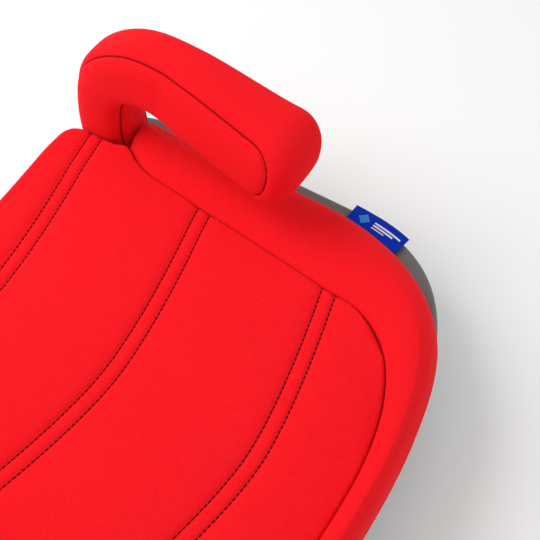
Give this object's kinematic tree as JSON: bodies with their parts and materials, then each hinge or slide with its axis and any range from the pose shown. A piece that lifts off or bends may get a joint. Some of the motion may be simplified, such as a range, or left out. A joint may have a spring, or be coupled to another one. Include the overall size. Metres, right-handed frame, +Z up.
{
  "type": "child car booster cushion",
  "caption": "Backless child's car booster with a dished, stitched seat cover, padded armrests, a plastic shell and pull-out anchor connectors.",
  "frame": {"origin": "on the ground under the middle of the seat", "axes": "+Z up, -Y to the front where the child's knees are, +X to the seat's right seen from the front with +Y away"},
  "size_m": [0.4575, 0.387, 0.1965],
  "materials": {
    "red_fabric": "smooth knitted fabric over foam",
    "grey_shell": "fine-textured moulded plastic",
    "dark_moulding": "fine-textured moulded plastic",
    "foam": "open-cell foam",
    "woven_label": "woven satin ribbon",
    "foot_rubber": "matt rubber",
    "zinc_steel": "zinc-plated steel",
    "green_button": "moulded plastic"
  },
  "bodies": {
    "base": {"base_shell": "grey_shell", "bottom_plate": "dark_moulding", "bottom_screw_1": "zinc_steel", "bottom_screw_2": "zinc_steel", "bottom_screw_3": "zinc_steel", "bottom_screw_4": "zinc_steel", "foot_front_left": "foot_rubber", "foot_front_right": "foot_rubber", "foot_rear_left": "foot_rubber", "foot_rear_right": "foot_rubber", "seat_bolster": "red_fabric", "cover_hem": "red_fabric", "seat_panel": "red_fabric", "seat_foam": "foam", "side_label": "woven_label", "armrest_cover_left": "red_fabric", "armrest_core_left": "dark_moulding", "armrest_screw_left_1": "zinc_steel", "armrest_screw_left_2": "zinc_steel", "connector_channel_left": "dark_moulding", "armrest_cover_right": "red_fabric", "armrest_core_right": "dark_moulding", "armrest_screw_right_1": "zinc_steel", "armrest_screw_right_2": "zinc_steel", "connector_channel_right": "dark_moulding"},
    "connectors": {"connector_frame": "zinc_steel", "connector_head_left": "dark_moulding", "connector_head_right": "dark_moulding", "jaw_pin_left": "zinc_steel", "jaw_pin_right": "zinc_steel"},
    "jaw_left": {"connector_jaw_left": "zinc_steel"},
    "button_left": {"release_button_left": "green_button"},
    "jaw_right": {"connector_jaw_right": "zinc_steel"},
    "button_right": {"release_button_right": "green_button"}
  },
  "joints": [
    {"name": "connector_slide", "type": "slide", "parent": "base", "child": "connectors", "axis": [0, 1, 0], "range_m": [0, 0.075]},
    {"name": "jaw_close_left", "type": "hinge", "parent": "connectors", "child": "jaw_left", "pos_m": [-0.14, 0.166, 0.041], "axis": [-1, 0, 0], "range_deg": [0, 38]},
    {"name": "button_press_left", "type": "slide", "parent": "connectors", "child": "button_left", "axis": [1, 0, 0], "range_m": [0, 0.0028], "stiffness_N_per_m": 250, "springref_m": -0.001},
    {"name": "jaw_close_right", "type": "hinge", "parent": "connectors", "child": "jaw_right", "pos_m": [0.14, 0.166, 0.041], "axis": [-1, 0, 0], "range_deg": [0, 38]},
    {"name": "button_press_right", "type": "slide", "parent": "connectors", "child": "button_right", "axis": [-1, 0, 0], "range_m": [0, 0.0028], "stiffness_N_per_m": 250, "springref_m": -0.001}
  ]
}
